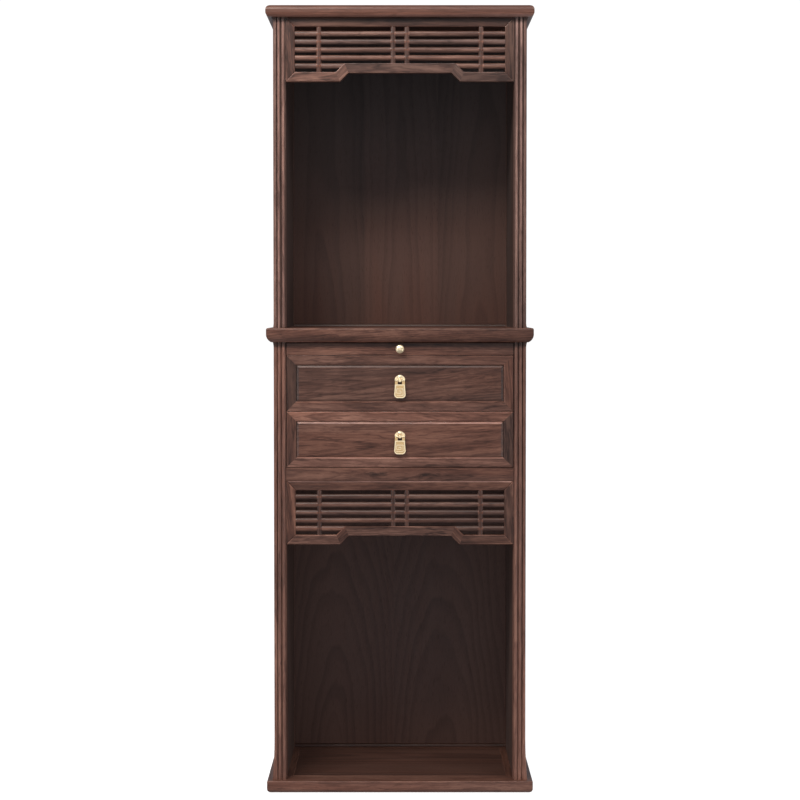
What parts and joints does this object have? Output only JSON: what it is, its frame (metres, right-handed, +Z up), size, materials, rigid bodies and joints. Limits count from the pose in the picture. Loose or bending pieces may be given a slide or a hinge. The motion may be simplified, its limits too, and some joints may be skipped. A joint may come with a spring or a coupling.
{
  "type": "altar cabinet",
  "caption": "Tall narrow wooden altar cabinet: open niche with a pierced fret above, sliding offering tray, drawers with hanging brass pulls, and an open compartment below.",
  "frame": {"origin": "on the floor under the middle of the cabinet", "axes": "+Z up, the front looks along -Y, +X to the right seen from the front"},
  "size_m": [0.6, 0.4, 1.77],
  "materials": {
    "walnut": "satin dark walnut",
    "inner_wood": "plain unstained wood of drawer boxes and runners",
    "brass": "satin brass"
  },
  "bodies": {
    "carcase": {"altar_end_rails": "walnut", "altar_front_rail": "walnut", "altar_panel": "walnut", "altar_rear_rail": "walnut", "back_battens": "inner_wood", "base_end_rails": "walnut", "base_front_rail": "walnut", "base_panel": "walnut", "base_rear_rail": "walnut", "bay_floor": "inner_wood", "corner_beads": "walnut", "crown_end_rails": "walnut", "crown_front_rail": "walnut", "crown_panel": "walnut", "crown_rear_rail": "walnut", "drawer_rail": "walnut", "fret_bars": "walnut", "fret_slats": "walnut", "lower_back_panel": "walnut", "lower_fret_bottom_rail": "walnut", "lower_fret_stiles": "walnut", "lower_fret_top_rail": "walnut", "lower_post_front_left": "walnut", "lower_post_front_right": "walnut", "lower_post_rear_left": "walnut", "lower_post_rear_right": "walnut", "lower_side_panel_left": "walnut", "lower_side_panel_right": "walnut", "runners": "inner_wood", "side_rails": "walnut", "upper_back_panel": "walnut", "upper_fret_bottom_rail": "walnut", "upper_fret_stiles": "walnut", "upper_fret_top_rail": "walnut", "upper_post_front_left": "walnut", "upper_post_front_right": "walnut", "upper_post_rear_left": "walnut", "upper_post_rear_right": "walnut", "upper_side_panel_left": "walnut", "upper_side_panel_right": "walnut"},
    "tray": {"tray_board": "inner_wood", "tray_front": "walnut", "tray_knob": "brass"},
    "upper_drawer": {"upper_drawer_back": "inner_wood", "upper_drawer_bottom": "inner_wood", "upper_drawer_front_frame": "walnut", "upper_drawer_front_panel": "walnut", "upper_drawer_pull_plate": "brass", "upper_drawer_sides": "inner_wood"},
    "lower_drawer": {"lower_drawer_back": "inner_wood", "lower_drawer_bottom": "inner_wood", "lower_drawer_front_frame": "walnut", "lower_drawer_front_panel": "walnut", "lower_drawer_pull_plate": "brass", "lower_drawer_sides": "inner_wood"},
    "upper_pull": {"upper_drawer_pull_pin": "brass", "upper_drawer_pull_tag": "brass"},
    "lower_pull": {"lower_drawer_pull_pin": "brass", "lower_drawer_pull_tag": "brass"}
  },
  "joints": [
    {"name": "tray_slide", "type": "slide", "parent": "carcase", "child": "tray", "axis": [0, -1, 0], "range_m": [0, 0.2]},
    {"name": "upper_drawer_slide", "type": "slide", "parent": "carcase", "child": "upper_drawer", "axis": [0, -1, 0], "range_m": [0, 0.21]},
    {"name": "lower_drawer_slide", "type": "slide", "parent": "carcase", "child": "lower_drawer", "axis": [0, -1, 0], "range_m": [0, 0.21]},
    {"name": "upper_pull_swing", "type": "hinge", "parent": "upper_drawer", "child": "upper_pull", "pos_m": [0, -0.1865, 0.9318], "axis": [-1, 0, 0], "range_deg": [0, 75]},
    {"name": "lower_pull_swing", "type": "hinge", "parent": "lower_drawer", "child": "lower_pull", "pos_m": [0, -0.1865, 0.8053], "axis": [-1, 0, 0], "range_deg": [0, 75]}
  ]
}
